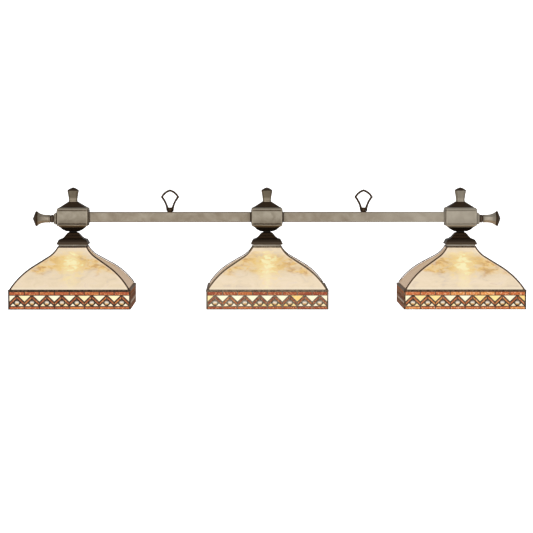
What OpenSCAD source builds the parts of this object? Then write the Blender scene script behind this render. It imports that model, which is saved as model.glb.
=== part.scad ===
// Three-light billiard table lamp: a square bar through three cast hubs, hung from two
// kite-shaped loops, with a square leaded-glass shade and a bulb below each hub.
// Frame: X along the bar, +Z up, origin midway between the bearing points of the two loops.
// Inside the modules, heights are counted from the hubs' middle and offsets from a hub's centre line.

/* [Bar] */
// Side of the square bar tube
bar_w = 28; // [24:0.1:30]
// Wall of the bar tube
bar_wall = 1.6; // [1.2:0.1:2]
// Distance between neighbouring hubs
hub_pitch = 540; // [500:1:640]
// Depth of the hubs' middle below the bearing points of the loops
hub_drop = 74; // [70:1:80]
// Height of the bar's axis above the hubs' middle
bar_rise = 1.4; // [0:0.1:2]

/* [Hubs] */
// Width of the hub across its flat faces
hub_w = 87.6; // [84:0.1:92]
// Height of the hub's flat face above the hub's middle
hub_top = 20.3; // [18:0.1:21]
// Depth of the hub's flat face below the hub's middle
hub_bottom = 17.5; // [16.5:0.1:18]
// Bevel across the hub's vertical corners
hub_corner = 1.6; // [1:0.1:6]

/* [Shades] */
// Outer width of the shade across its leaded band
shade_w = 334; // [320:1:350]
// Height of the leaded band with its rails
band_h = 54; // [50:0.5:56]
// Depth of the shade's lower edge below the hub's middle
shade_bottom = 246; // [240:1:250]
// Thickness of the curved glass panels
panel_t = 3; // [2:0.5:4]
// Thickness of the glass in the leaded band
band_glass_t = 2.6; // [2:0.2:3]
// Pattern units along one side of the band
units = 8; // [6:1:10]
// Width of the lead cames between the pieces of band glass
came_w = 2.4; // [1.5:0.1:2.8]
// Diameter of the round glass jewels
jewel_d = 12; // [10:0.5:13]

/* [Hanging loops] */
// Distance of each loop from the middle of the bar
loop_x = 270; // [240:1:300]
// Outer width of the kite-shaped loop
loop_w = 50.9; // [46:0.1:56]
// Thickness of the loop's rod
loop_rod = 4.6; // [4:0.1:6]
// Diameter of the wire way through the loop's boss
wire_way_d = 7.2; // [6:0.1:7.6]

/* [Bulbs] */
// Diameter of the bulb's globe
bulb_d = 60; // [50:1:64]

/* [Hidden] */
$fn = 64;
SIDES = ["left", "center", "right"];
BAR_NODES = ["bar_tube_left", "bar_tube_right", "hub_cores", "bar_screws", "lead_wires", "lamp_nipples",
    "locknuts", "loop_boss_left", "loop_boss_right", "hang_loop_left", "hang_loop_right", "end_plates",
    "end_collars", "end_finials", "neck_collars", "screw_shells"];
HUB_NODES = ["hub_body", "hub_top_cover", "hub_bottom_cover", "top_finial", "socket_body", "bulb_glass",
    "bulb_base", "shade_cap", "shade_frame", "panel_glass", "band_cames", "band_amber", "band_cream",
    "band_jewels"];

// Colours
pewter = [0.64, 0.59, 0.50];
bronze = [0.15, 0.11, 0.08];
brass = [0.72, 0.58, 0.32];
steel = [0.62, 0.62, 0.60];
phenolic = [0.10, 0.09, 0.08];
cream = [0.93, 0.85, 0.70];
amber = [0.72, 0.32, 0.12];
lead_grey = [0.26, 0.23, 0.20];

// Working values
eps = 0.01;
gap = 0.3;               // room between pieces that turn on each other
hub_hw = hub_w / 2;
hub_wall = 4;
hub_bevel = [3.3, 5.8];  // first bevel above and below the flat face: inwards, up or down
hub_bevel_2 = [4.4, 3];  // second, flatter bevel
cover_hw = hub_hw - hub_bevel[0] - hub_bevel_2[0];
under_hw = cover_hw - 1.5;   // the cover under the hub is a little narrower
cover_top = hub_top + hub_bevel[1] + hub_bevel_2[1];
cover_bottom = hub_bottom + hub_bevel[1] + hub_bevel_2[1];
roof_hw = 12.4;
roof_top = 44.2;
base_hw = 17.8;
base_bottom = 38;
core_w = 30;
tenon_l = 20;
channel_d = 8;
stud_d = 6;
thread_d = 9.8;          // outer diameter of the lamp nipples
thread_bore = 6.8;       // wire way through the lamp nipples
nipple_top = 13;
nipple_bottom = 57;
collar_h = 3;
collar_hw = 10.7;
cap_top = base_bottom + collar_h + gap;
cap_plate_t = 2.8;
locknut_h = 4;
locknut_top = cap_top + cap_plate_t + gap;
socket_top = 49;
socket_bottom = 107;
socket_r = 17.5;
socket_bore_r = 15.2;
shell_top = 66;
shell_r = 14.6;
contact_z = 71;
base_r = 13;
bulb_seat_z = 99;
bulb_neck_r = 14;
bulb_centre_z = 153.5;
ring_top = 73.2;         // top of the shade frame's upper ring
ring_bottom = 81;
shade_hw = shade_w / 2;
band_top = shade_bottom - band_h;
rail_h = 4.8;
edge_h = 1.4;
post_w = 4;              // corner posts of the leaded band
came_t = 3.8;
came_out = shade_hw - 0.2;
came_proud = 1;          // the cames stand this far out of the band glass
glass_out = came_out - came_proud;
lattice_hw = shade_hw - post_w;
unit_w = 2 * lattice_hw / units;
boss_r = 9.2;
boss_top = 27.7;
end_drop = 3.2;          // the end finials sit a little below the hubs' middle

// Points of a circle, centre c, from angle a to angle b
function arc(c, r, a, b, n) = [for (i = [0:n]) c + r * [cos(a + (b - a) * i / n), sin(a + (b - a) * i / n)]];

// Points of an arc from p to q that bulges to the right of the way by the sagitta
function bow(p, q, sagitta, n) =
    let (chord = q - p, l = norm(chord), out = [chord[1], -chord[0]] / l)
    [for (i = [0:n]) p + chord * i / n + out * sagitta * 4 * (i / n) * (1 - i / n)];

// A closed outline from its right-hand side, listed from the bottom to the top
function both_sides(side) = concat(side, [for (i = [len(side) - 1:-1:0]) [-side[i][0], side[i][1]]]);

function widen(side, k) = [for (p = side) [p[0] * k, p[1]]];

module prism(side, length) {
    rotate([90, 0, 0]) linear_extrude(length, center = true) polygon(both_sides(side));
}

// A moulding with a square plan: the same side view from the front and from the end
module square_mould(side) {
    reach = 2.2 * max([for (p = side) p[0]]);
    intersection() {
        prism(side, reach);
        rotate([0, 0, 90]) prism(side, reach);
    }
}

// The same with its corners cut off; corner is the half width across the corners over that across the faces
module cut_corner_mould(side, corner) {
    reach = 3 * max([for (p = side) p[0]]);
    intersection() {
        square_mould(side);
        rotate([0, 0, 45]) prism(widen(side, corner), reach);
        rotate([0, 0, -45]) prism(widen(side, corner), reach);
    }
}

module hub_place(i) {
    translate([(i - 1) * hub_pitch, 0, -hub_drop]) children();
}

module at_ends() {
    translate([hub_pitch, 0, -hub_drop]) children();
    translate([-hub_pitch, 0, -hub_drop]) mirror([1, 0, 0]) children();
}

module at_hubs() {
    for (i = [0:2]) hub_place(i) children();
}

module at_loops() {
    for (s = [-1, 1]) translate([s * loop_x, 0, -hub_drop]) children();
}

// ---- Bar ----

module bar_tube(side) {
    length = hub_pitch - core_w;
    screw_x = length / 2 - tenon_l / 2 + 3;
    color(pewter)
    translate([side * hub_pitch / 2, 0, bar_rise - hub_drop]) difference() {
        cube([length, bar_w, bar_w], center = true);
        cube([length + 1, bar_w - 2 * bar_wall, bar_w - 2 * bar_wall], center = true);
        translate([side * (loop_x - hub_pitch / 2), 0, 0]) cylinder(h = bar_w, d = thread_d);
        for (s = [-1, 1]) translate([s * screw_x, 0, -bar_w]) cylinder(h = bar_w, d = 4.4);
    }
}

// The block inside a hub: it joins the bar tubes and takes the stem and the finials' studs
module hub_core(tenons, end) {
    tenon_w = bar_w - 2 * bar_wall - 0.2;
    screw_x = core_w / 2 + tenon_l / 2 - 3;
    difference() {
        union() {
            cube(core_w, center = true);
            for (s = tenons) translate([s * (core_w + tenon_l) / 2, 0, bar_rise])
                cube([tenon_l + eps, tenon_w, tenon_w], center = true);
        }
        for (s = tenons) translate([0, 0, bar_rise]) {
            rotate([0, s * 90, 0]) cylinder(h = core_w / 2 + tenon_l + 1, d = channel_d);
            translate([s * screw_x, 0, -bar_w / 2]) cylinder(h = 6, d = 4);
        }
        translate([0, 0, -core_w / 2 - 1]) cylinder(h = core_w / 2 + 4, d = thread_d);
        translate([0, 0, 6]) cylinder(h = core_w, d = stud_d);
        if (end != 0) translate([end * 7, 0, -end_drop]) rotate([0, end * 90, 0]) cylinder(h = core_w, d = stud_d);
    }
}

module hub_cores() {
    color(steel) {
        hub_place(0) hub_core([1], -1);
        hub_place(1) hub_core([-1, 1], 0);
        hub_place(2) hub_core([-1], 1);
    }
}

module bar_screws() {
    screw_x = core_w / 2 + tenon_l / 2 - 3;
    color(steel) for (x = [screw_x - hub_pitch, -screw_x, screw_x, hub_pitch - screw_x])
        translate([x, 0, bar_rise - hub_drop - bar_w / 2]) {
            translate([0, 0, -2.4]) cylinder(h = 2.4, d = 7);
            translate([0, 0, -eps]) cylinder(h = 5, d = 4);
        }
}

// The wires run through the bar and drop down each stem
module lead_wires() {
    wire_d = 4.4;
    color("saddlebrown") {
        translate([-hub_pitch, 0, bar_rise - hub_drop]) rotate([0, 90, 0]) cylinder(h = 2 * hub_pitch, d = wire_d);
        for (i = [0:2]) hub_place(i) {
            translate([0, 0, bar_rise]) sphere(d = wire_d);
            translate([0, 0, -nipple_bottom - 4]) cylinder(h = nipple_bottom + 4 + bar_rise, d = wire_d);
        }
    }
}

// ---- Hanging loops ----

// The collar at the foot of a loop, which turns on its nipple
module loop_boss() {
    foot = bar_rise + bar_w / 2 + gap;
    color(bronze) difference() {
        union() {
            translate([0, 0, foot]) cylinder(h = boss_top - foot, r = boss_r);
            translate([0, 0, foot]) cylinder(h = 2.2, r = boss_r + 0.9);
        }
        translate([0, 0, foot - 1]) cylinder(h = 22.6 - foot + 1, d = thread_d + 2 * gap);
        translate([0, 0, foot]) cylinder(h = bar_w, d = wire_way_d);
    }
}

// The kite-shaped loop, brazed on top of its boss
module hang_loop() {
    wide_z = 57.2;
    apex = hub_drop + loop_rod;
    in_hw = loop_w / 2 - 1.2 * loop_rod;
    bulge = 2.4;
    outside = concat(bow([boss_r, boss_top - 3], [loop_w / 2, wide_z], -bulge, 8),
        bow([loop_w / 2, wide_z], [0, apex], bulge, 8));
    inside = concat(bow([boss_r - loop_rod, boss_top], [in_hw, wide_z], -bulge, 8),
        bow([in_hw, wide_z], [0, hub_drop], bulge, 8));
    color(bronze) rotate([90, 0, 0]) linear_extrude(loop_rod, center = true) difference() {
        polygon(both_sides(outside));
        polygon(both_sides(inside));
        translate([-loop_w, 0]) square([2 * loop_w, boss_top]);
    }
}

// ---- Hubs ----

module hub_body(openings, end) {
    side = [[under_hw, -cover_bottom], [hub_hw - hub_bevel[0], -hub_bottom - hub_bevel[1]],
        [hub_hw, -hub_bottom], [hub_hw, hub_top], [hub_hw - hub_bevel[0], hub_top + hub_bevel[1]],
        [cover_hw, cover_top]];
    inner = hub_w - 2 * hub_wall;
    mouth = 2 * cover_hw - 12;
    color(pewter) difference() {
        cut_corner_mould(side, (2 * hub_hw - hub_corner) / (sqrt(2) * hub_hw));
        translate([-inner / 2, -inner / 2, -hub_bottom]) cube([inner, inner, hub_bottom + hub_top]);
        translate([-mouth / 2, -mouth / 2, -50]) cube([mouth, mouth, 100]);
        for (s = openings) translate([s * hub_hw, 0, bar_rise])
            cube([4 * hub_wall, bar_w + 0.2, bar_w + 0.2], center = true);
        if (end != 0) translate([end * hub_hw / 2, 0, -end_drop]) rotate([0, end * 90, 0])
            cylinder(h = hub_hw, d = stud_d + 0.6);
    }
}

module hub_top_cover() {
    t = 3;
    pitch = (roof_top - cover_top) / (cover_hw - roof_hw);
    color(bronze) difference() {
        square_mould([[cover_hw, cover_top], [roof_hw, roof_top]]);
        square_mould([[cover_hw - t / pitch, cover_top - eps], [roof_hw, roof_top - t]]);
        cylinder(h = 60, d = stud_d + 0.6);
    }
}

module hub_bottom_cover() {
    t = 3;
    color(bronze) difference() {
        square_mould([[base_hw, -base_bottom], [under_hw, -cover_bottom]]);
        square_mould([[base_hw - 2, t - base_bottom], [under_hw - 6, eps - cover_bottom]]);
        translate([0, 0, -60]) cylinder(h = 60, d = thread_d + 0.4);
    }
}

// Flare that both kinds of finial share, as [half width, height] pairs; a higher bend opens it later
function flare(r_stem, r_wide, z_stem, z_wide, bend, n) =
    [for (i = [0:n]) let (t = i / n) [r_stem + (r_wide - r_stem) * pow(t, bend), z_stem + (z_wide - z_stem) * t]];

module top_finial() {
    foot_hw = 12;
    shoulder = 74.8;
    side = concat([[foot_hw, roof_top], [foot_hw, roof_top + 3.6]],
        flare(11.6, 15.6, roof_top + 4.4, shoulder, 1.25, 6), [[13.6, 77.8], [0.4, 84.4]]);
    color(pewter) union() {
        cut_corner_mould(side, 1.19);
        translate([0, 0, 6.5]) cylinder(h = roof_top - 6, d = stud_d);
    }
}

// ---- End finials ----

plate_t = 7.6;
plate_w = 31.9;
ring_l = 11;
ring_d = 22;
end_flare_l = 40.3;
end_tip_l = 10;

module on_end_axis() {
    at_ends() translate([0, 0, -end_drop]) rotate([0, 90, 0]) children();
}

module end_plates() {
    color(pewter) on_end_axis() translate([0, 0, hub_hw]) difference() {
        union() {
            translate([-plate_w / 2, -plate_w / 2, 0]) cube([plate_w, plate_w, plate_t - 3]);
            translate([2 - plate_w / 2, 2 - plate_w / 2, 0]) cube([plate_w - 4, plate_w - 4, plate_t]);
        }
        translate([0, 0, -1]) cylinder(h = plate_t + 2, d = stud_d + 0.6);
    }
}

module end_collars() {
    color(bronze) on_end_axis() translate([0, 0, hub_hw + plate_t]) difference() {
        rotate_extrude() polygon([[0, 0], [8.6, 0], [ring_d / 2, 3], [ring_d / 2, ring_l - 3], [8.6, ring_l],
            [0, ring_l]]);
        translate([0, 0, -1]) cylinder(h = ring_l + 2, d = stud_d + 0.6);
    }
}

module end_finials() {
    start = hub_hw + plate_t + ring_l;
    side = concat(flare(10.9, 21.2, start, start + end_flare_l, 3, 8), [[0.4, start + end_flare_l + end_tip_l]]);
    color(pewter) on_end_axis() union() {
        cut_corner_mould(side, 1);
        translate([0, 0, 7.5]) cylinder(h = start, d = stud_d);
    }
}

// ---- Stems and sockets ----

module threaded_nipple(length) {
    difference() {
        cylinder(h = length, d = thread_d);
        translate([0, 0, -1]) cylinder(h = length + 2, d = thread_bore);
    }
}

module lamp_nipples() {
    color(brass) {
        at_loops() translate([0, 0, 6]) threaded_nipple(16);
        at_hubs() translate([0, 0, -nipple_bottom]) threaded_nipple(nipple_bottom - nipple_top + 8);
    }
}

module locknut(across_corners) {
    difference() {
        cylinder(h = locknut_h, d = across_corners, $fn = 6);
        translate([0, 0, -1]) cylinder(h = locknut_h + 2, d = thread_d);
    }
}

module locknuts() {
    color(steel) {
        at_loops() translate([0, 0, bar_rise + bar_w / 2 - bar_wall - locknut_h]) locknut(16);
        at_hubs() translate([0, 0, -locknut_top - locknut_h]) locknut(17);
    }
}

module neck_collars() {
    color(bronze) at_hubs() translate([0, 0, -base_bottom - collar_h / 2]) difference() {
        cube([2 * collar_hw, 2 * collar_hw, collar_h], center = true);
        cylinder(h = 2 * collar_h, d = thread_d, center = true);
    }
}

module socket_body() {
    color(phenolic) rotate_extrude() polygon([[thread_d / 2, -socket_top], [11.5, -socket_top],
        [11.5, -54], [socket_r, -59], [socket_r, -104], [socket_r + 1, -104], [socket_r + 1, -socket_bottom],
        [socket_bore_r, -socket_bottom], [socket_bore_r, -shell_top], [4, -shell_top], [4, -nipple_bottom - 1],
        [thread_d / 2, -nipple_bottom - 1]]);
}

module screw_shells() {
    color(brass) at_hubs() rotate_extrude() polygon([[0, -shell_top], [shell_r, -shell_top],
        [shell_r, -98], [13.7, -98], [13.7, -shell_top - 1], [3, -shell_top - 1], [3, -contact_z],
        [0, -contact_z]]);
}

// ---- Bulbs ----

// Half section of the bulb's envelope, grown by g, from the lowest point up to the seat
function bulb_side(g) =
    let (r = bulb_d / 2 + g, fillet = 40 - g, neck = bulb_neck_r + g, reach = neck + fillet)
    let (rise = sqrt((fillet + r) * (fillet + r) - reach * reach), a = atan2(rise, reach))
    concat(arc([0, -bulb_centre_z], r, -90, a, 14),
        arc([reach, rise - bulb_centre_z], fillet, 180 + a, 180, 5));

module bulb_glass() {
    wall = 1;
    tail_r = 11.8;
    outer = concat(bulb_side(0), [[bulb_neck_r, -bulb_seat_z], [tail_r, -bulb_seat_z], [tail_r, -92]]);
    inner = concat(bulb_side(-wall), [[tail_r - wall, -101], [tail_r - wall, -92]]);
    color("white") rotate_extrude() polygon(concat(outer, [for (i = [len(inner) - 1:-1:0]) inner[i]]));
}

module bulb_base() {
    crest = base_r;
    root = base_r - 0.9;
    pitch = 3.6;
    threads = [for (i = [0:5]) for (p = [[crest, 0.9], [root, 2.7]]) [p[0], -75 - i * pitch - p[1]]];
    color(steel) rotate_extrude() polygon(concat([[0, -contact_z - gap], [4, -contact_z - gap], [9, -75]], threads,
        [[crest, -bulb_seat_z + gap], [crest, -bulb_seat_z + eps], [11.8, -bulb_seat_z + eps], [11.8, -80], [0, -80]]));
}

// ---- Shades ----

module shade_cap() {
    steps = [[43.4, -ring_top], [44.3, -72], [42.8, -69], [39.6, -62.6], [37, -59.8], [32.8, -58.9],
        [28.6, -56.9], [25, -53.8], [22.5, -50.6], [19.9, -47.5], [17.2, -44.4], [13.4, -cap_top]];
    hollow = [[34.5, -ring_top - eps], [35.6, -69.4], [33.4, -64], [28.4, -61.2], [20.5, -57.6], [15.6, -53.6],
        [13.2, -48.6], [9.8, -48.4], [9.8, -cap_top - cap_plate_t]];
    color(bronze) difference() {
        square_mould(steps);
        square_mould(hollow);
        translate([0, 0, -60]) cylinder(h = 30, d = thread_d + 2 * gap);
    }
}

// Outer curve of the glass, [half width, height] from the top down, moved inwards by d
panel_top = [38, -80];
arch_r = 69.2;
steep = 64.7;
slant = 32;
slant_l = 44.7;
panel_foot = [163.5, -196];
arch_end = panel_top + arch_r * [sin(steep) - sin(slant), cos(steep) - cos(slant)];
belly_start = arch_end + slant_l * [cos(slant), -sin(slant)];
belly = panel_foot - belly_start;
belly_angle = 2 * atan2(-belly[1], belly[0]) - slant;
belly_r = belly[0] / (sin(belly_angle) - sin(slant));

function glass_curve(d) = concat(
    arc(panel_top + arch_r * [sin(steep), cos(steep)], arch_r + d, 270 - steep, 270 - slant, 8),
    arc(belly_start - belly_r * [sin(slant), cos(slant)], belly_r - d, 90 - slant, 90 - belly_angle, 9));

// A filled ogee pyramid under the glass curve
module ogee_solid(d) {
    curve = glass_curve(d);
    n = len(curve) - 1;
    square_mould(concat([for (i = [n:-1:0]) curve[i]], [[curve[0][0] - 2, curve[0][1] + 12]]));
}

module ogee_shell(d_out, d_in, z_low, z_high) {
    intersection() {
        difference() {
            ogee_solid(d_out);
            ogee_solid(d_in);
        }
        translate([-shade_hw, -shade_hw, -z_low]) cube([shade_w, shade_w, z_low - z_high]);
    }
}

// The two upright walls along the diagonals where the panels meet
module hip_walls(w) {
    for (a = [45, -45]) rotate([0, 0, a]) translate([-shade_w, -w / 2, -shade_bottom]) cube([2 * shade_w, w, shade_bottom]);
}

module square_ring(out_hw, in_hw, low, high) {
    translate([0, 0, -low]) linear_extrude(low - high) difference() {
        square(2 * out_hw, center = true);
        square(2 * in_hw, center = true);
    }
}

hip_w = 3.4;

module shade_frame() {
    rail_in = 155.5;
    color(lead_grey) union() {
        square_ring(38.2, 34, ring_bottom, ring_top);
        intersection() {
            ogee_shell(-0.6, panel_t + 0.8, band_top + 1, ring_bottom - 1);
            hip_walls(hip_w);
        }
        square_ring(shade_hw + 0.6, rail_in, band_top + rail_h, band_top);
        for (sx = [-1, 1]) for (sy = [-1, 1])
            translate([sx * (shade_hw - post_w / 2), sy * (shade_hw - post_w / 2), -shade_bottom + band_h / 2])
                cube([post_w, post_w, band_h], center = true);
        square_ring(shade_hw, shade_hw - post_w, shade_bottom, shade_bottom - edge_h);
    }
}

module panel_glass() {
    color(cream) difference() {
        ogee_shell(0, panel_t, band_top, ring_bottom);
        hip_walls(hip_w);
    }
}

// Heights in the leaded band, from its lower edge
brick_low = [edge_h, 7.8];
zone = [10, 38.2];
brick_high = [40, 48.2];
band_in_top = band_h - rail_h;
peak = zone[1] + 3.8;    // where the outer edges of a chevron would meet
slope = 0.96;            // slope of the chevrons
outer_came = 5.3;        // upright thickness of the came above a chevron's glass
chevron_glass = 4.6;     // upright thickness of the glass strips
inner_came = 5.1;        // upright thickness of the came below them
jewel_z = 18.9;
jewel_foot = 4;          // half width of the solder under a jewel

function unit_u(k) = (k - (units - 1) / 2) * unit_w;

// A strip that climbs to the middle of a unit and falls again
module chevron(top, h) {
    hw = unit_w / 2;
    polygon([[-hw, top - slope * hw], [0, top], [hw, top - slope * hw], [hw, top - h - slope * hw],
        [0, top - h], [-hw, top - h - slope * hw]]);
}

module zone_square() {
    translate([-unit_w / 2, zone[0]]) square([unit_w, zone[1] - zone[0]]);
}

module jewel_hole(margin) {
    translate([0, jewel_z]) circle(d = jewel_d + 2 * margin);
}

// Solder between the triangles and the chevron of one unit, and round its jewel
module unit_leads() {
    inner_top = peak - outer_came - chevron_glass;
    inner_apex = inner_top - inner_came;
    meet = (inner_apex - zone[0] + jewel_foot) / (1 + slope);
    difference() {
        intersection() {
            zone_square();
            union() {
                chevron(peak, outer_came);
                chevron(inner_top, inner_came);
                polygon([[-jewel_foot, zone[0]], [jewel_foot, zone[0]], [meet, zone[0] + meet - jewel_foot],
                    [0, inner_apex + 1], [-meet, zone[0] + meet - jewel_foot]]);
                translate([-came_w / 2, inner_apex]) square([came_w, zone[1] - inner_apex]);
                for (s = [-1, 1]) translate([s * unit_w / 2 - came_w / 2, zone[0]])
                    square([came_w, peak - slope * unit_w / 2 - zone[0]]);
            }
        }
        jewel_hole(0);
    }
}

module band_square(low, high) {
    translate([-lattice_hw, low]) square([2 * lattice_hw, high - low]);
}

// The flat came lattice of one side of the band
module lattice() {
    band_square(brick_low[1], zone[0]);
    band_square(zone[1], brick_high[0]);
    band_square(brick_high[1], band_in_top);
    for (k = [0:units - 1]) translate([unit_u(k), 0]) unit_leads();
    for (k = [1:units - 1]) translate([unit_u(k) - (unit_w + came_w) / 2, 0]) {
        translate([0, edge_h]) square([came_w, brick_low[1] - edge_h + eps]);
        translate([0, brick_high[0] - eps]) square([came_w, brick_high[1] - brick_high[0] + 2 * eps]);
    }
}

module amber_pieces() {
    difference() {
        union() {
            band_square(brick_low[0], brick_low[1]);
            band_square(brick_high[0], brick_high[1]);
            for (k = [0:units - 1]) translate([unit_u(k), 0]) intersection() {
                zone_square();
                chevron(peak - outer_came, chevron_glass);
            }
        }
        lattice();
    }
}

module cream_pieces() {
    difference() {
        band_square(zone[0], zone[1]);
        lattice();
        for (k = [0:units - 1]) translate([unit_u(k), 0]) {
            chevron(peak - outer_came / 2, outer_came / 2 + chevron_glass + inner_came / 2);
            jewel_hole(0.3);
        }
    }
}

// Stands a drawing of one side up on all four sides of the band
module on_four_sides(outer, t) {
    for (a = [0:90:270]) rotate([0, 0, a]) translate([0, t - outer, -shade_bottom])
        rotate([90, 0, 0]) linear_extrude(t) children();
}

module band_cames() {
    color(lead_grey) on_four_sides(came_out, came_t) lattice();
}

module band_amber() {
    color(amber) on_four_sides(glass_out, band_glass_t) amber_pieces();
}

module band_cream() {
    color(cream) on_four_sides(glass_out, band_glass_t) cream_pieces();
}

module jewel() {
    dome_r = 9;
    sink = sqrt(dome_r * dome_r - jewel_d * jewel_d / 4);
    intersection() {
        translate([0, 0, band_glass_t - 0.6 - sink]) sphere(r = dome_r);
        cylinder(h = 10, d = jewel_d);
    }
}

module band_jewels() {
    color("ivory") for (a = [0:90:270]) rotate([0, 0, a]) for (k = [0:units - 1])
        translate([unit_u(k), band_glass_t - glass_out, jewel_z - shade_bottom]) rotate([90, 0, 0]) jewel();
}

bar_tube(-1);  // bar_tube_left
bar_tube(1);  // bar_tube_right
hub_cores();
bar_screws();
lead_wires();
lamp_nipples();
locknuts();
translate([-loop_x, 0, -hub_drop]) loop_boss();  // loop_boss_left
translate([loop_x, 0, -hub_drop]) loop_boss();  // loop_boss_right
translate([-loop_x, 0, -hub_drop]) hang_loop();  // hang_loop_left
translate([loop_x, 0, -hub_drop]) hang_loop();  // hang_loop_right
end_plates();
end_collars();
end_finials();
neck_collars();
screw_shells();

bar_sides = [[1], [-1, 1], [-1]];

for (i = [0:2]) {
    hub_place(i) hub_body(bar_sides[i], i - 1);
    hub_place(i) hub_top_cover();
    hub_place(i) hub_bottom_cover();
    hub_place(i) top_finial();
    hub_place(i) socket_body();
    hub_place(i) bulb_glass();
    hub_place(i) bulb_base();
    hub_place(i) shade_cap();
    hub_place(i) shade_frame();
    hub_place(i) panel_glass();
    hub_place(i) band_cames();
    hub_place(i) band_amber();
    hub_place(i) band_cream();
    hub_place(i) band_jewels();
}
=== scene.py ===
import math

import bmesh
import bpy
from mathutils import Matrix, Vector, noise


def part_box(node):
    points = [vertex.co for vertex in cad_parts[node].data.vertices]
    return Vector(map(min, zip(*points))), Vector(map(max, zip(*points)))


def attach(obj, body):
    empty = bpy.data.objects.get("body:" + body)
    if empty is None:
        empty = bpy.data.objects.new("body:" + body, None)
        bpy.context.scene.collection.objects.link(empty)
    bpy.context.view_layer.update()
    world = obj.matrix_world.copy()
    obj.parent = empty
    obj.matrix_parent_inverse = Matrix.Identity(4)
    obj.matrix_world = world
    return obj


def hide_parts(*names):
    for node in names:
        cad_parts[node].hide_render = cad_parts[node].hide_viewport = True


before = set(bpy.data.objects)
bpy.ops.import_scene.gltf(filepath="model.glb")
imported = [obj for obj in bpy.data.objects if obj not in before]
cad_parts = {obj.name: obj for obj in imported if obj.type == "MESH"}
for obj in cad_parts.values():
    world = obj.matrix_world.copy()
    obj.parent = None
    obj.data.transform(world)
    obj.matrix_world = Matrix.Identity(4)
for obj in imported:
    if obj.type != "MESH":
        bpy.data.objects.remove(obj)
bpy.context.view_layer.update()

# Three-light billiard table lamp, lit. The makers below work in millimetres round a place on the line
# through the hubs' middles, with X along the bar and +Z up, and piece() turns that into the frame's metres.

MM = 0.001
SIDES = ("left", "center", "right")


def middle(node):
    low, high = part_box(node)
    return (low + high) / 2


BAR_RISE = 1.4
HUBS_Z = middle("bar_tube_left").z - BAR_RISE * MM
HUB_X = {side: middle("hub_body_" + side).x for side in SIDES}
LOOP_X = {side: middle("hang_loop_" + side).x for side in ("left", "right")}
AXIS_Y, AXIS_Z = Vector((0, 1, 0)), Vector((0, 0, 1))

# ---- Sizes, in millimetres, the same as the CAD model's ----

BAR_HW = 14.0
HUB_HW = 43.8
COVER_HW, COVER_TOP = 36.1, 29.1
UNDER_HW, COVER_LOW = 34.6, -26.3
ROOF_TOP = 44.2
END_DROP = 3.2
GLASS_FOOT = -192.0
SHADE_HW = 167.0
SHADE_LOW = -246.0
UNIT_W = 40.75
UNITS = 8
JEWEL_R = 6.0
JEWEL_Z = SHADE_LOW + 18.9
BULB_Z = -153.5
BULB_R = 30.0

# tolerances for cleaning the CAD nodes' meshes: metres between points, radians between flat faces
WELD = 0.004 * MM
FLAT = math.radians(1)


# ---- Outlines and skins ----

def rounded(points, size, steps, closed=True):
    """The same line with each corner cut back by size in a smooth bend. The ends of an open line stay."""
    points = [Vector(p) for p in points]
    line = []
    for i, p in enumerate(points):
        if not closed and i in (0, len(points) - 1):
            line.append(p)
            continue
        back, on = points[i - 1] - p, points[(i + 1) % len(points)] - p
        cut = min(size, 0.47 * back.length, 0.47 * on.length)
        start, end = p + back.normalized() * cut, p + on.normalized() * cut
        line += [start.lerp(p, k / steps).lerp(p.lerp(end, k / steps), k / steps) for k in range(steps + 1)]
    return line


def plan(hw, share, corner, steps):
    """A square of half width hw whose flats keep that share of its sides, with the corners rounded."""
    if share < 1:
        quarter = [(hw, -share * hw), (hw, share * hw)]
    else:
        quarter = [(hw, hw)]
    turns = [Matrix.Rotation(k * math.pi / 2, 2) for k in range(4)]
    return rounded([turn @ Vector(p) for turn in turns for p in quarter], corner, steps)


def ellipse(a, b, count):
    return [Vector((a * math.cos(t), b * math.sin(t)))
            for t in (2 * math.pi * k / count for k in range(count))]


def arc(centre, r, start, end, steps):
    """Points of a circle's arc, with its angles in degrees."""
    angles = [math.radians(start + (end - start) * k / steps) for k in range(steps + 1)]
    return [Vector((centre[0] + r * math.cos(t), centre[1] + r * math.sin(t))) for t in angles]


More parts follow.
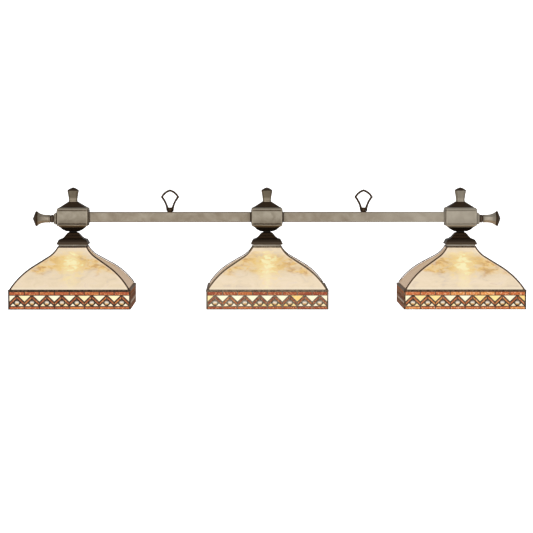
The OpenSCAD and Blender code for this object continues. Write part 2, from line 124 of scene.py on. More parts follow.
class Form:
    """Gathers closed skins."""

    def __init__(self):
        self.points, self.faces = [], []

    def skin(self, rings, closed=False):
        """Joins rings of equal length. The first and last are filled unless the skin closes on itself."""
        n, first = len(rings[0]), len(self.points)
        for ring in rings:
            self.points += ring
        for i in range(len(rings) if closed else len(rings) - 1):
            a, b = first + i * n, first + (i + 1) % len(rings) * n
            self.faces += [(a + j, a + (j + 1) % n, b + (j + 1) % n, b + j) for j in range(n)]
        if not closed:
            self.faces += [tuple(range(first, first + n)),
                           tuple(range(first + (len(rings) - 1) * n, first + len(rings) * n))]
        return self

    def moulding(self, profile, share=1.0, corner=0.8, closed=False):
        """A square or cut-corner moulding from (half width, height) pairs."""
        return self.skin([[Vector((*p, z)) for p in plan(hw, share, corner, 2)] for hw, z in profile], closed)

    def turned(self, profile, count, closed=False):
        """A turned form from (radius, height) pairs."""
        turns = [2 * math.pi * k / count for k in range(count)]
        return self.skin([[Vector((r * math.cos(t), r * math.sin(t), z)) for t in turns] for r, z in profile],
                         closed)

    def sweep(self, path, section, side, closed=False):
        """Carries a section along a flat path. Its x runs to the side of the path's plane, its y outwards."""
        rings = []
        for i, p in enumerate(path):
            before = (p - path[i - 1]).normalized() if closed or i else None
            after = (path[(i + 1) % len(path)] - p).normalized() if closed or i < len(path) - 1 else before
            before = before or after
            along = (before + after).normalized()
            out = along.cross(side) / along.dot(after)
            shape = section(i / (len(path) - 1)) if callable(section) else section
            rings.append([p + side * s.x + out * s.y for s in shape])
        return self.skin(rings, closed)

    def moved(self, matrix):
        self.points = [matrix @ p for p in self.points]
        return self

    def add(self, other):
        start = len(self.points)
        self.points += other.points
        self.faces += [tuple(start + k for k in face) for face in other.faces]
        return self


def clean_mesh(name, points, faces):
    """A mesh with no double points or faces without area, and its normals outwards."""
    tiny = 0.002 * MM
    mesh = bpy.data.meshes.new(name)
    mesh.from_pydata(points, [], faces)
    bm = bmesh.new()
    bm.from_mesh(mesh)
    bmesh.ops.remove_doubles(bm, verts=bm.verts, dist=tiny)
    bmesh.ops.dissolve_degenerate(bm, edges=bm.edges, dist=tiny)
    bmesh.ops.recalc_face_normals(bm, faces=bm.faces)
    bm.to_mesh(mesh)
    bm.free()
    return mesh


def link(name, mesh, material, body, nodes, sharp=38):
    """A new piece that rides on a body and stands for some of the CAD nodes. Edges over sharp degrees stay
    sharp in the shading."""
    obj = bpy.data.objects.new(name, mesh)
    bpy.context.scene.collection.objects.link(obj)
    mesh.materials.clear()
    mesh.materials.append(material)
    mesh.shade_smooth()
    mesh.set_sharp_from_angle(angle=math.radians(sharp))
    weighted = obj.modifiers.new("Normals", "WEIGHTED_NORMAL")
    weighted.keep_sharp = True
    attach(obj, body)
    if nodes:
        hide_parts(*nodes)
    SLOT_OF[material.name.split("-")[0]]


def piece(name, form, x, material, body, nodes=(), sharp=38):
    """A form placed at x on the hubs' middle line."""
    points = [Vector((x, 0, HUBS_Z)) + p * MM for p in form.points]
    link(name, clean_mesh(name, points, form.faces), material, body, nodes, sharp)


# ---- Materials ----

def srgb(r, g, b):
    """A colour from its 0 to 255 screen values."""
    return tuple((v / 255 / 12.92 if v <= 10 else ((v / 255 + 0.055) / 1.055) ** 2.4) for v in (r, g, b)) + (1,)


class Paint:
    """A material made of nodes. Inputs take numbers, colours or the outputs of other nodes."""

    def __init__(self, name, **shader):
        self.material = bpy.data.materials.new(name)
        self.material.use_nodes = True
        self.tree = self.material.node_tree
        self.shader = self.tree.nodes["Principled BSDF"]
        self.place = self.node("TexCoord").outputs["Object"]
        self.set(**shader)

    def set(self, **shader):
        for key, value in shader.items():
            self.plug(self.shader.inputs[key.replace("_", " ")], value)

    def plug(self, socket, value):
        if isinstance(value, bpy.types.NodeSocket):
            self.tree.links.new(value, socket)
        elif isinstance(value, (int, float)) and socket.type in ("RGBA", "VECTOR"):
            socket.default_value = (value,) * (4 if socket.type == "RGBA" else 3)
        else:
            socket.default_value = value

    def node(self, kind, inputs=None, **settings):
        node = self.tree.nodes.new("ShaderNode" + kind)
        for key, value in settings.items():
            setattr(node, key, value)
        for key, value in (inputs or {}).items():
            self.plug(node.inputs[key], value)
        return node

    def math(self, operation, a, b=0.0):
        return self.node("Math", {0: a, 1: b}, operation=operation).outputs[0]

    def times(self, a, b):
        return self.math("MULTIPLY", a, b)

    def vector(self, operation, a, b=(0, 0, 0)):
        node = self.node("VectorMath", {0: a, 1: b}, operation=operation)
        return node.outputs["Value" if operation == "LENGTH" else "Vector"]

    def split(self, vector):
        return self.node("SeparateXYZ", {0: vector}).outputs

    def join(self, x, y, z):
        return self.node("CombineXYZ", {0: x, 1: y, 2: z}).outputs[0]

    def noise(self, size, detail=3.0, roughness=0.55, distortion=0.0, at=None):
        """Clouds with blobs of about that size, in millimetres."""
        return self.node("TexNoise", {"Vector": at or self.place, "Scale": 1 / (size * MM), "Detail": detail,
                                      "Roughness": roughness, "Distortion": distortion}).outputs["Fac"]

    def ramp(self, value, *stops):
        node = self.node("ValToRGB", {0: value})
        for k, (at, colour) in enumerate(stops):
            stop = node.color_ramp.elements[k] if k < 2 else node.color_ramp.elements.new(at)
            stop.position, stop.color = at, colour
        return node.outputs[0]

    def band(self, value, low, high, to_low=0.0, to_high=1.0):
        """A number that goes smoothly from to_low to to_high as value goes from low to high."""
        return self.node("MapRange", {"Value": value, "From Min": low, "From Max": high, "To Min": to_low,
                                      "To Max": to_high}, interpolation_type="SMOOTHSTEP").outputs[0]

    def stirred(self, value, clouds, reach):
        """The value, shifted by the clouds by up to half of reach either way."""
        return self.math("ADD", value, self.times(self.math("SUBTRACT", clouds, 0.5), reach))

    def mix(self, share, a, b, blend="MIX"):
        return self.node("Mix", {0: share, 6: a, 7: b}, data_type="RGBA", blend_type=blend).outputs[2]

    def bump(self, height, distance, strength):
        """A relief of that depth, in millimetres."""
        node = self.node("Bump", {"Height": height, "Distance": distance * MM, "Strength": strength})
        self.set(Normal=node.outputs[0])

    def hollow(self, reach):
        """1 in the open and 0 deep in a corner, felt over a distance in millimetres."""
        return self.node("AmbientOcclusion", {"Distance": reach * MM}, samples=8).outputs["AO"]

    def ridge(self, reach):
        """1 along outer edges and 0 on flats, felt over a distance in millimetres."""
        inside = self.node("AmbientOcclusion", {"Distance": reach * MM}, samples=8, inside=True).outputs["AO"]
        return self.band(inside, 0.35, 0.75)


SLOT_OF = {"bar_paint": "bar_pewter", "cast_paint": "cast_pewter", "olive_paint": "cast_pewter",
           "ends_paint": "cast_pewter", "bronze_paint": "dark_bronze", "underside_shade_paint": "dark_bronze",
           "cap_paint": "dark_bronze", "ring_paint": "dark_bronze", "solder_paint": "lead_came",
           "strip_paint": "lead_came", "panel_paint": "panel_glass", "amber_paint": "amber_glass",
           "cream_paint": "cream_glass", "jewel_paint": "jewel_glass", "bulb_paint": "bulb_glass",
           "base_paint": "bulb_metal"}


def pewter(name, tones, rubbed_and_highlit, patina, cloud, lines=None):
    """Antiqued pewter: mottled, patina and painted shade darken the corners, and rubbed wear and a painted highlight
    make the edges a little brighter.

    cloud is the size of the mottling in millimetres. lines takes the paint, its colour and its clouds, and
    returns the colour with patina, painted shade and painted highlights drawn along the part's own grooves and edges."""
    paint = Paint(name, Metallic=0.72)
    clouds = paint.noise(cloud, 4, 0.62, 0.6)
    colour = paint.ramp(clouds, (0.34, tones[0]), (0.5, tones[1]), (0.66, tones[2]))
    specks = paint.noise(2.2, 5, 0.7)
    colour = paint.mix(paint.band(specks, 0.52, 0.72, 0, 0.35), colour, patina)
    # patina and painted shade: darker brown deep in the corners
    colour = paint.mix(paint.band(paint.hollow(7), 0.86, 0.42, 0, 0.9), colour, patina)
    # rubbed wear and painted highlight: lighter along outer edges
    colour = paint.mix(paint.times(paint.ridge(1.6), 0.4), colour, rubbed_and_highlit)
    if lines:
        colour = lines(paint, colour, clouds)
    # painted light: the lamp's right half is painted brighter, as if more light falls on it
    bright_from, bright_to, pale = 0.15, 0.52, srgb(216, 207, 190)
    lit_right_half = paint.band(paint.split(paint.place)[0], bright_from, bright_to, 0, 0.42)
    colour = paint.mix(lit_right_half, colour, pale)
    paint.set(Base_Color=colour, Roughness=paint.band(clouds, 0.3, 0.7, 0.52, 0.4))
    paint.bump(paint.math("ADD", paint.noise(1.4, 3), clouds), 0.12, 0.35)
    return paint.material


def above_middle(paint):
    """Height over the hubs' middle line, in millimetres."""
    return paint.math("DIVIDE", paint.math("SUBTRACT", paint.split(paint.place)[2], HUBS_Z), MM)


def from_centre(paint, axis):
    """Distance from the lamp's middle along that axis, in millimetres."""
    return paint.math("DIVIDE", paint.math("ABSOLUTE", paint.split(paint.place)[axis]), MM)


def stripe(paint, value, low, high, soft=0.5):
    """1 between low and high, 0 outside, with edges that fade over twice soft."""
    return paint.times(paint.band(value, low - soft, low + soft),
                       paint.band(value, high + soft, high - soft))


def from_nearest(paint):
    """Distance along the bar from the nearest hub's middle, in millimetres."""
    x = paint.math("DIVIDE", paint.split(paint.place)[0], MM)
    left, center, right = (paint.math("ABSOLUTE", paint.math("SUBTRACT", x, HUB_X[side] / MM)) for side in SIDES)
    return paint.math("MINIMUM", left, paint.math("MINIMUM", center, right))


def hub_lines(paint, colour, clouds):
    """Patina and painted shade in the hub's two grooves, on its lower bevel and down its corners, and painted
    highlights on the edges between.
    """
    z = paint.math("ADD", above_middle(paint), paint.band(clouds, 0.3, 0.7, -0.5, 0.5))
    brown, light, dull, dark, tan = (srgb(88, 68, 47), srgb(182, 170, 150), srgb(116, 102, 84), srgb(66, 48, 30),
                                     srgb(120, 98, 72))
    # the face darkens downwards
    colour = paint.mix(paint.band(z, 8, -15, 0, 0.55), colour, dull)
    # upper groove with patina and painted shade, upper bevel with a painted highlight, and the joint with the cover
    colour = paint.mix(paint.times(stripe(paint, z, 19.3, 21.6), 0.85), colour, brown)
    colour = paint.mix(paint.times(stripe(paint, z, 21.8, 27.0, 0.6), 0.9), colour, light)
    colour = paint.mix(paint.band(z, 27.2, 29.8, 0, 0.45), colour, brown)
    # lower groove with patina and painted shade, a painted highlight on the lip under it, and the lower bevel with
    # patina and painted shade
    colour = paint.mix(paint.times(stripe(paint, z, -18.4, -15.4), 0.97), colour, dark)
    colour = paint.mix(paint.times(stripe(paint, z, -20.6, -18.8, 0.3), 0.8), colour, light)
    colour = paint.mix(paint.band(z, -20.4, -21.6, 0, 0.95), colour, tan)
    # the upright corners: a painted highlight just inside them, patina and painted shade on the corner itself
    across = paint.math("MINIMUM", from_nearest(paint), from_centre(paint, 1))
    colour = paint.mix(paint.times(stripe(paint, across, 38.6, 41.2, 0.5), 0.7), colour, light)
    return paint.mix(paint.band(across, 41.4, 42.4, 0, 0.8), colour, brown)


def bar_lines(paint, colour, clouds):
    """Brown patina and painted shade along the long edges of the bar, and a dark band of painted shade, with some
    patina, where it enters a hub.
    """
    z = paint.math("ABSOLUTE", paint.math("SUBTRACT", above_middle(paint), BAR_RISE))
    across = paint.math("MINIMUM", z, from_centre(paint, 1))
    across = paint.math("ADD", across, paint.band(clouds, 0.3, 0.7, -0.6, 0.6))
    edge_brown, joint_brown = srgb(98, 76, 53), srgb(58, 43, 27)
    # patina and painted shade along the long edges
    colour = paint.mix(paint.band(across, 11.6, 13.2, 0, 0.85), colour, edge_brown)
    # painted shade, with some patina, where the bar meets a hub
    return paint.mix(paint.band(from_nearest(paint), HUB_HW + 4.2, HUB_HW + 2.4, 0, 0.9), colour, joint_brown)


def cap_lines(paint, colour, clouds):
    """Painted highlights: two of the cap's steps catch a brown light, and its lip is painted the lightest."""
    z = above_middle(paint)
    step_brown, lip_brown = srgb(92, 70, 50), srgb(100, 84, 68)
    upper = paint.math("ADD", stripe(paint, z, -47.6, -42.8), stripe(paint, z, -55.6, -51.0))
    colour = paint.mix(paint.times(upper, 0.9), colour, step_brown)
    return paint.mix(paint.band(z, -64.5, -68, 0, 0.9), colour, lip_brown)


def finial_lines(paint, colour, clouds):
    """The finial grows lighter down to its foot, with a darker line over the foot's moulding."""
    z = above_middle(paint)
    foot_light, line_brown = srgb(190, 175, 152), srgb(104, 88, 66)
    colour = paint.mix(paint.band(z, 58, 51.5, 0, 0.9), colour, foot_light)
    return paint.mix(paint.times(stripe(paint, z, 47.3, 48.7, 0.3), 0.6), colour, line_brown)


def end_lines(paint, colour, clouds):
    """Darker marks on the end plates and finials: a dark joint at the hub, a brown step and a line on the foot."""
    out = paint.math("SUBTRACT", from_centre(paint, 0), HUB_X["right"] / MM + HUB_HW)
    joint_brown, step_brown, line_brown = srgb(54, 40, 27), srgb(84, 67, 49), srgb(112, 96, 76)
    colour = paint.mix(paint.band(out, 4.4, 3.6, 0, 0.95), colour, joint_brown)
    colour = paint.mix(paint.times(stripe(paint, out, 6.8, 9.6, 0.4), 0.6), colour, step_brown)
    return paint.mix(paint.times(stripe(paint, out, 22.4, 24.8, 0.4), 0.5), colour, line_brown)


def bronze(name, base, rubbed_and_highlit, rub_and_highlight_share, lines=None):
    """Dark bronze, nearly black, with rubbed wear and a painted brown highlight along its edges. For lines see
    pewter().
    """
    paint = Paint(name, Metallic=0.4, Specular_IOR_Level=0.3)
    clouds = paint.noise(9, 4, 0.6, 0.4)
    colour = paint.mix(paint.band(clouds, 0.35, 0.7), base, tuple(1.8 * v for v in base[:3]) + (1,))
    # rubbed wear and painted highlight along outer edges
    colour = paint.mix(paint.times(paint.ridge(1.4), rub_and_highlight_share), colour, rubbed_and_highlit)
    if lines:
        colour = lines(paint, colour, clouds)
    paint.set(Base_Color=colour, Roughness=paint.band(clouds, 0.3, 0.7, 0.42, 0.3))
    paint.bump(paint.noise(1.6, 3), 0.1, 0.3)
    return paint.material


def solder(side, dark, light, share):
    """Patinated solder, uneven from hand work. On a shade's two ends it is painted tan on the rail and red-brown on
    the band below it: painted light in the tones of the lit glass round it."""
    paint = Paint("solder_paint-" + side, Metallic=0.5)
    clouds = paint.noise(5, 4, 0.65, 0.5)
    colour = paint.mix(paint.band(clouds, 0.62 - share / 2, 0.95 - share / 2), dark, light)
    ends, z = end_face(paint, from_hub(paint, HUB_X[side])), above_middle(paint)
    on_rail, on_band = paint.band(z, -184, -190, 0, 0.8), paint.band(z, -197, -199, 0, 0.8)
    tan, red_brown = srgb(136, 100, 62), srgb(140, 78, 28)
    # painted light on the ends: tan on the rail, red-brown on the band
    colour = paint.mix(paint.times(ends, on_rail), colour, tan)
    colour = paint.mix(paint.times(ends, on_band), colour, red_brown)
    paint.set(Base_Color=colour, Roughness=paint.band(clouds, 0.3, 0.7, 0.46, 0.3))
    paint.bump(paint.noise(2.4, 3), 0.22, 0.5)
    return paint.material


def lit(paint, colour, glow, surface=0.36):
    """Shows a colour as glass that is lit from behind: part of it shines, the rest is reflected."""
    paint.set(Base_Color=paint.mix(1.0, colour, (surface,) * 3 + (1,), "MULTIPLY"), Emission_Color=colour,
              Emission_Strength=glow)


def from_hub(paint, x):
    """Coordinates round the hub's middle, in millimetres."""
    place = paint.vector("SUBTRACT", paint.place, (x, 0, HUBS_Z))
    return paint.vector("MULTIPLY", place, (1 / MM,) * 3)


def end_face(paint, place):
    """1 on the two faces of a shade that look along the bar, 0 on its front and back."""
    x, y, _ = paint.split(place)
    return paint.math("GREATER_THAN", paint.math("ABSOLUTE", x), paint.math("ABSOLUTE", y))


def panel_paint(side):
    """Cream opalescent glass with a belt of gold and tan clouds, lit by the bulb behind it."""
    paint = Paint("panel_paint-" + side, Roughness=0.22, Specular_IOR_Level=0.4, Coat_Weight=0.2,
                  Coat_Roughness=0.12)
    place = from_hub(paint, HUB_X[side])
    x, y, z = paint.split(place)
    x, y = paint.math("ABSOLUTE", x), paint.math("ABSOLUTE", y)
    across, out = paint.math("MINIMUM", x, y), paint.math("MAXIMUM", x, y)
    lying = paint.vector("MULTIPLY", paint.vector("ADD", paint.place, (SEED[side], 0, SEED[side])), (1, 1, 1.7))
    broad = paint.noise(75, 5, 0.55, 0.7, at=lying)
    clouds = paint.noise(40, 6, 0.6, 0.8, at=lying)
    fine = paint.noise(19, 5, 0.56, 0.6, at=lying)
    patches = paint.noise(30, 3, 0.5, 0.6, at=lying)
    colour = paint.ramp(clouds, (0.3, srgb(219, 200, 178)), (0.45, srgb(232, 212, 180)),
                        (0.58, srgb(237, 217, 187)), (0.74, srgb(226, 209, 192)))

    # gold and tan clouds, thickest in a belt across the glass in front of the bulb, and none at the very top
    belt_low, belt_high = -145, -103
    tan, pale_tan = srgb(194, 152, 104), srgb(222, 190, 146)
    below_top = paint.band(z, -87, -97)
    belt = stripe(paint, paint.stirred(z, broad, 56), belt_low, belt_high, 8)
    belt = paint.times(paint.times(belt, paint.band(patches, 0.38, 0.54, 0.45, 1)), below_top)
    gold = paint.ramp(fine, (0.34, srgb(201, 153, 94)), (0.45, srgb(223, 179, 110)), (0.54, srgb(241, 203, 130)),
                      (0.66, srgb(237, 210, 160)))
    colour = paint.mix(paint.times(belt, 0.92), colour, gold)
    colour = paint.mix(paint.times(belt, paint.band(clouds, 0.5, 0.34, 0, 0.65)), colour, tan)
    stray = paint.times(paint.band(clouds, 0.6, 0.7), paint.band(fine, 0.45, 0.6, 0, 0.5))
    colour = paint.mix(stray, colour, pale_tan)

    # the bulb's glow, and a streak of it that runs down to the rail
    glow_z, halo_r, core_r, streak_w = -124, 56, 27, 20
    halo_tone, core_tone, streak_tone = srgb(248, 219, 148), srgb(255, 244, 192), srgb(252, 234, 186)
    over = paint.times(paint.math("ADD", z, -glow_z), 0.95)
    reach = paint.stirred(paint.vector("LENGTH", paint.join(across, over, 0)), fine, 105)
    colour = paint.mix(paint.times(below_top, paint.band(reach, halo_r, 14, 0, 0.7)), colour, halo_tone)
    colour = paint.mix(paint.times(below_top, paint.band(reach, core_r, 2, 0, 0.97)), colour, core_tone)
    streak = paint.band(paint.stirred(across, clouds, 90), streak_w, 2, 0, STREAK[side])
    colour = paint.mix(paint.times(streak, paint.band(z, -128, -140)), colour, streak_tone)

    # lighter along the hips and just over the rail; painted shade on the ends, which are tan and dimmer all over than
    # the lit front and back
    hip_tone, foot_tone = srgb(249, 230, 206), srgb(250, 235, 210)
    colour = paint.mix(paint.band(paint.math("SUBTRACT", out, across), 8, 2, 0, 0.55), colour, hip_tone)
    colour = paint.mix(paint.band(z, -185.0, -187.4, 0, 0.55), colour, foot_tone)
    end_tone = paint.mix(broad, srgb(192, 159, 125), srgb(172, 139, 106))
    colour = paint.mix(paint.times(end_face(paint, place), 0.85), colour, end_tone)
    lit(paint, colour, 0.82)
    paint.bump(paint.noise(9, 3), 0.5, 0.35)
    return paint.material


BAND_GLASS = {"Roughness": 0.3, "Specular_IOR_Level": 0.3, "Coat_Weight": 0.15, "Coat_Roughness": 0.12}


def amber_paint(side, deep, bright, fleck):
    """Mottled red-brown to orange glass. Each brick has its own tone, and those on the ends are painted browner as
    painted shade.
    """
    paint = Paint("amber_paint-" + side, **BAND_GLASS)
    tone = paint.node("Attribute", attribute_name="tone").outputs["Fac"]
    colour = paint.mix(tone, deep, bright)
    mottle = paint.noise(4.6, 3, 0.6, 0.5)
    red_brown, end_brown = srgb(136, 54, 24), srgb(122, 70, 18)
    colour = paint.mix(paint.band(mottle, 0.47, 0.36, 0, 0.75), colour, red_brown)
    colour = paint.mix(paint.band(mottle, 0.54, 0.64, 0, 0.85), colour, fleck)
    shaded = paint.times(end_face(paint, from_hub(paint, HUB_X[side])), 0.8)
    lit(paint, paint.mix(shaded, colour, end_brown), 0.74, 0.45)
    paint.bump(mottle, 0.35, 0.5)
    return paint.material


def cream_paint(side, yellow):
    """Cream to yellow glass. Each piece has its own tone, and those on the ends are painted browner as painted shade.
    """
    paint = Paint("cream_paint-" + side, **BAND_GLASS)
    tone = paint.node("Attribute", attribute_name="tone").outputs["Fac"]
    colour = paint.ramp(paint.times(tone, yellow), (0.0, srgb(253, 237, 204)), (0.3, srgb(253, 231, 182)),
                        (0.6, srgb(251, 219, 146)), (1.0, srgb(244, 200, 114)))
    streaks = paint.noise(9, 4, 0.6, 1.2)
    milk, end_brown = srgb(254, 247, 222), srgb(146, 94, 30)
    colour = paint.mix(paint.band(streaks, 0.5, 0.75, 0, 0.4), colour, milk)
    shaded = paint.times(end_face(paint, from_hub(paint, HUB_X[side])), 0.85)
    lit(paint, paint.mix(shaded, colour, end_brown), 0.84)
    paint.bump(paint.noise(5, 3), 0.25, 0.4)
    return paint.material


def jewel_paint():
    """Pressed glass jewels: straw yellow below, grey-white above."""
    paint = Paint("jewel_paint", Roughness=0.12, Coat_Weight=0.8, Coat_Roughness=0.04)
    z = paint.math("DIVIDE", paint.math("SUBTRACT", above_middle(paint), JEWEL_Z), JEWEL_R)
    z = paint.stirred(z, paint.noise(5, 2), 0.8)
    colour = paint.ramp(paint.band(z, -1.0, 1.0), (0.0, srgb(206, 146, 78)), (0.25, srgb(236, 200, 144)),
                        (0.48, srgb(244, 230, 208)), (0.8, srgb(226, 212, 196)), (1.0, srgb(158, 140, 126)))
    lit(paint, colour, 0.56, 0.5)
    return paint.material


def plain(name, base, metallic, roughness):
    """A plain stock finish with slight unevenness."""
    paint = Paint(name, Metallic=metallic)
    clouds = paint.noise(6, 4, 0.6)
    contrast, near_black = 0.25, (0.02, 0.02, 0.02, 1)
    colour = paint.mix(paint.times(clouds, contrast), base, near_black)
    paint.set(Base_Color=colour, Roughness=paint.band(clouds, 0.3, 0.7, roughness, roughness + 0.12))
    paint.bump(clouds, 0.08, 0.3)
    return paint.material


def bulb_paint():
    """Frosted glass, lit."""
    paint = Paint("bulb_paint", Roughness=0.35, Coat_Weight=0.3)
    clouds = paint.noise(30, 2)
    lit(paint, paint.mix(clouds, srgb(255, 240, 205), srgb(255, 250, 235)), 1.6, 0.9)
    return paint.material


# where each shade's glass lies in the noise, and how strong the streak of light under its bulb is
SEED = {"left": 0.31, "center": 0.0, "right": 0.86}
STREAK = {"left": 0.3, "center": 0.6, "right": 0.4}
BAR = pewter("bar_paint", (srgb(148, 131, 110), srgb(162, 148, 128), srgb(172, 161, 143)), srgb(186, 174, 155),
             srgb(104, 82, 58), 30, bar_lines)
CAST = pewter("cast_paint", (srgb(148, 136, 116), srgb(160, 149, 130), srgb(170, 160, 142)), srgb(192, 182, 164),
              srgb(84, 66, 46), 18, hub_lines)
OLIVE = pewter("olive_paint", (srgb(102, 85, 62), srgb(114, 97, 73), srgb(128, 112, 87)), srgb(178, 166, 144),
               srgb(62, 46, 30), 12, finial_lines)
ENDS = pewter("ends_paint", (srgb(146, 131, 112), srgb(160, 146, 126), srgb(178, 164, 143)), srgb(200, 189, 170),
              srgb(90, 72, 52), 9, end_lines)
BRONZE = bronze("bronze_paint", srgb(20, 11, 3), srgb(92, 70, 48), 0.6)
# painted shade: a darker copy of the bronze for the covers and necks that face down
UNDERSIDE_SHADE = bronze("underside_shade_paint", srgb(12, 8, 5), srgb(44, 32, 22), 0.3)
RING = bronze("ring_paint", srgb(48, 37, 27), srgb(112, 94, 76), 0.6)
CAP = bronze("cap_paint", srgb(20, 13, 7), srgb(80, 62, 45), 0.5, cap_lines)
# the middle shade's solder is painted greyer and lighter than the two outer ones, a painted reflection
SOLDER = {"left": solder("left", srgb(50, 34, 20), srgb(124, 98, 72), 0.4),
          "center": solder("center", srgb(82, 68, 52), srgb(144, 127, 104), 0.6),
          "right": solder("right", srgb(64, 47, 33), srgb(132, 108, 84), 0.5)}
# painted light: the same strip painted lighter on the middle shade and darker on the outer two
STRIP = {side: pewter("strip_paint-" + side, (srgb(*dark), srgb(*mid), srgb(*light)), srgb(206, 200, 188),
                      srgb(60, 48, 36), 14)
         for side, dark, mid, light in (("left", (92, 80, 68), (124, 112, 98), (168, 156, 142)),
                                        ("center", (150, 138, 120), (186, 174, 154), (208, 198, 180)),
                                        ("right", (90, 82, 74), (116, 108, 99), (150, 141, 130)))}
PANEL = {side: panel_paint(side) for side in SIDES}
AMBER = {"left": amber_paint("left", srgb(172, 80, 28), srgb(206, 116, 44), srgb(226, 154, 92)),
         "center": amber_paint("center", srgb(148, 62, 22), srgb(192, 104, 42), srgb(216, 150, 98)),
         "right": amber_paint("right", srgb(200, 106, 50), srgb(232, 152, 76), srgb(244, 196, 152))}
CREAM = {"left": cream_paint("left", 0.6), "center": cream_paint("center", 1.0), "right": cream_paint("right", 0.8)}
JEWEL, BULB = jewel_paint(), bulb_paint()
BASE = plain("base_paint", srgb(196, 192, 184), 0.9, 0.28)
STEEL = plain("steel_paint", srgb(168, 168, 164), 0.9, 0.35)
BRASS = plain("brass_paint", srgb(196, 162, 92), 0.9, 0.3)
JACKET = plain("jacket_paint", srgb(92, 62, 38), 0.0, 0.6)
PHENOLIC = plain("phenolic_paint", srgb(34, 31, 28), 0.0, 0.35)


# ---- Bar, hubs and finials ----

def bar_tube(side):
    low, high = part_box("bar_tube_" + side)
    half, wall, count = (high.x - low.x) / 2 / MM, 1.6, 24
    stations = [-half + 2 * half * k / count for k in range(count + 1)]
    outside, inside = plan(BAR_HW, 1, 0.7, 3), plan(BAR_HW - wall, 1, 0.5, 3)
    rings = [[Vector((x, p.x, p.y + BAR_RISE)) for p in outside] for x in stations]
    rings += [[Vector((x, p.x, p.y + BAR_RISE)) for p in inside] for x in reversed(stations)]
    piece("square_tube_" + side, Form().skin(rings, closed=True), (low.x + high.x) / 2, BAR, "bar_frame",
          ["bar_tube_" + side])


def hub(side):
    """Cast body, roof, cover underneath and finial. The outlines are in (half width, height) pairs."""
    x = HUB_X[side]
    wide, notch = HUB_HW, HUB_HW - 1.2
    profile = [(UNDER_HW - 0.6, COVER_LOW), (UNDER_HW, COVER_LOW), (36.6, -25.0), (38.2, -23.6), (41.8, -22.4),
               (42.9, -20.6), (43.0, -18.8), (notch - 0.3, -18.2), (notch, -15.8), (wide, -15.2), (wide, 19.2),
               (notch, 19.7), (notch, 21.0), (wide - 0.1, 21.6), (wide - 1.6, 26.0), (38.0, 28.6),
               (COVER_HW, COVER_TOP), (COVER_HW - 0.6, COVER_TOP)]
    body = Form().moulding(rounded(profile, 0.35, 2, closed=False), share=0.968, corner=0.5)
    piece("cast_hub_" + side, body, x, CAST, "bar_frame", ["hub_body_" + side])

    roof = [(COVER_HW - 0.5, COVER_TOP - 0.6), (COVER_HW - 0.2, COVER_TOP + 0.2), (13.9, ROOF_TOP - 0.5),
            (13.1, ROOF_TOP)]
    piece("roof_" + side, Form().moulding(rounded(roof, 0.5, 2, closed=False), corner=1.0), x, BRONZE, "bar_frame",
          ["hub_top_cover_" + side])
    belly = [(17.6, -38), (18.2, -37.6), (27.1, -33.2), (UNDER_HW - 0.3, COVER_LOW - 0.2),
             (UNDER_HW - 0.8, COVER_LOW + 0.6)]
    piece("under_cover_" + side, Form().moulding(rounded(belly, 2, 4, closed=False), corner=1.2), x, UNDERSIDE_SHADE,
          "bar_frame", ["hub_bottom_cover_" + side])

    foot = [(11.8, ROOF_TOP - 0.2), (12.0, ROOF_TOP + 0.4), (12.0, ROOF_TOP + 3.2), (11.5, ROOF_TOP + 3.9)]
    narrow, widens, start, end, flats = 11.6, 3.9, ROOF_TOP + 4.6, 74.4, 0.683
    flare = [(narrow + widens * (k / 8) ** 1.25, start + (end - start) * k / 8) for k in range(9)]
    stem = rounded(foot + flare + [(15.6, 74.9), (15.2, 75.2)], 0.4, 2, closed=False)
    piece("finial_" + side, Form().moulding(stem, flats), x, OLIVE, "bar_frame", ["top_finial_" + side])
    tip = rounded([(15.0, 75.1), (15.5, 75.5), (13.9, 77.6), (8.2, 81.4), (0.3, 84.4)], 0.4, 3, closed=False)
    piece("finial_tip_" + side, Form().moulding(tip, flats), x, BRONZE, "bar_frame")


